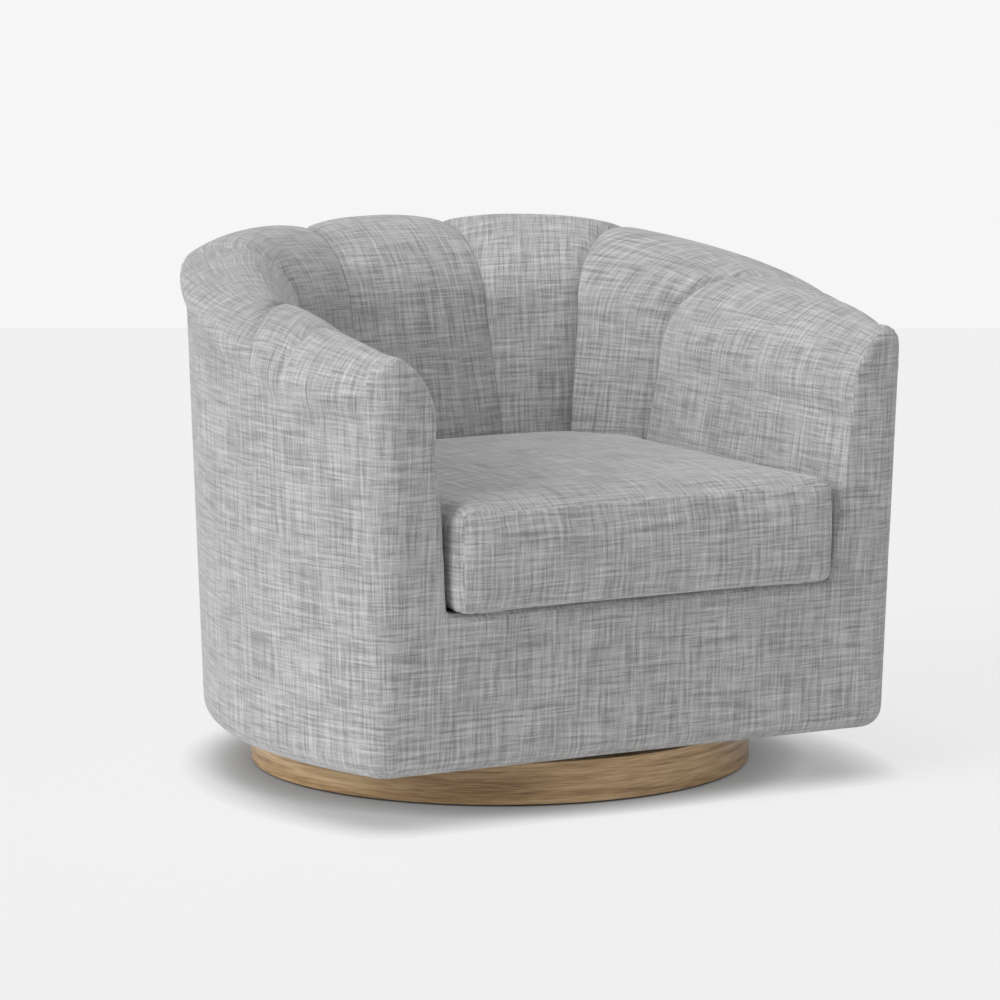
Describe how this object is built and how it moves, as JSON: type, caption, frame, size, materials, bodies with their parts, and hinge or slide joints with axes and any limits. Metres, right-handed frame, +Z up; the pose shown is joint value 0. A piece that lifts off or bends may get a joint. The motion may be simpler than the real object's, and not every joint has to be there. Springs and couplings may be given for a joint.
{
  "type": "swivel barrel chair",
  "caption": "Low barrel armchair that swivels: a channel-padded tub back running down into the arms, a loose box cushion, and a round wood plinth.",
  "frame": {"origin": "on the floor under the swivel axis, in the middle of the plinth", "axes": "the sitter faces -Y, +X is the right side seen from in front, +Z is up"},
  "size_m": [0.8971, 0.8111, 0.6897],
  "materials": {
    "upholstery": "woven, heather grey",
    "wood_veneer": "weathered brown veneer, satin",
    "plywood": "bare plywood",
    "softwood": "planed softwood",
    "fibreboard": "thin pressed board",
    "steel": "zinc plated",
    "spring_steel": "blackened wire",
    "cage_plastic": "moulded nylon",
    "glide_felt": "pressed felt",
    "black_cloth": "non-woven dust cloth",
    "deck_cloth": "padded deck cloth"
  },
  "bodies": {
    "base": {"plinth_veneer": "wood_veneer", "plinth_ring": "plywood", "plinth_top_board": "plywood", "plinth_glue_blocks": "softwood", "floor_glides": "glide_felt", "glide_nails": "steel", "swivel_lower_plate": "steel", "lower_plate_screws": "steel", "pivot_bolt": "steel", "pivot_washer": "steel", "pivot_nut": "steel"},
    "cage": {"ball_cage": "cage_plastic", "bearing_balls": "steel"},
    "seat": {"arm_board_left": "plywood", "arm_board_right": "plywood", "arm_posts": "softwood", "arm_rail_left": "softwood", "arm_rail_right": "softwood", "back_posts": "softwood", "back_rail": "softwood", "base_board": "plywood", "channel_1": "upholstery", "channel_2": "upholstery", "channel_3": "upholstery", "channel_4": "upholstery", "channel_5": "upholstery", "channel_6": "upholstery", "channel_7": "upholstery", "channel_8": "upholstery", "channel_9": "upholstery", "corner_blocks": "softwood", "deck_pad": "deck_cloth", "dust_cover": "black_cloth", "front_border": "upholstery", "front_rail": "softwood", "inner_board": "fibreboard", "outer_backing_board": "fibreboard", "outside_cover": "upholstery", "rear_rail_left": "softwood", "rear_rail_right": "softwood", "seat_springs": "spring_steel", "side_rail_left": "softwood", "side_rail_right": "softwood", "spring_clips": "steel", "swivel_upper_plate": "steel", "tee_nuts": "steel", "top_rail": "softwood", "upper_plate_bolts": "steel"},
    "cushion": {"seat_cushion": "upholstery"}
  },
  "joints": [
    {"name": "swivel", "type": "hinge", "parent": "base", "child": "seat", "pos_m": [0, 0, 0.06], "axis": [0, 0, 1], "continuous": true},
    {"name": "cage_spin", "type": "hinge", "parent": "base", "child": "cage", "pos_m": [0, 0, 0.06], "axis": [0, 0, 1], "continuous": true},
    {"name": "cushion_lift", "type": "slide", "parent": "seat", "child": "cushion", "axis": [0, 0, 1], "range_m": [0, 0.35]}
  ],
  "couplings": [
    {"joint": "cage_spin", "follows": "swivel", "ratio": 0.5}
  ]
}
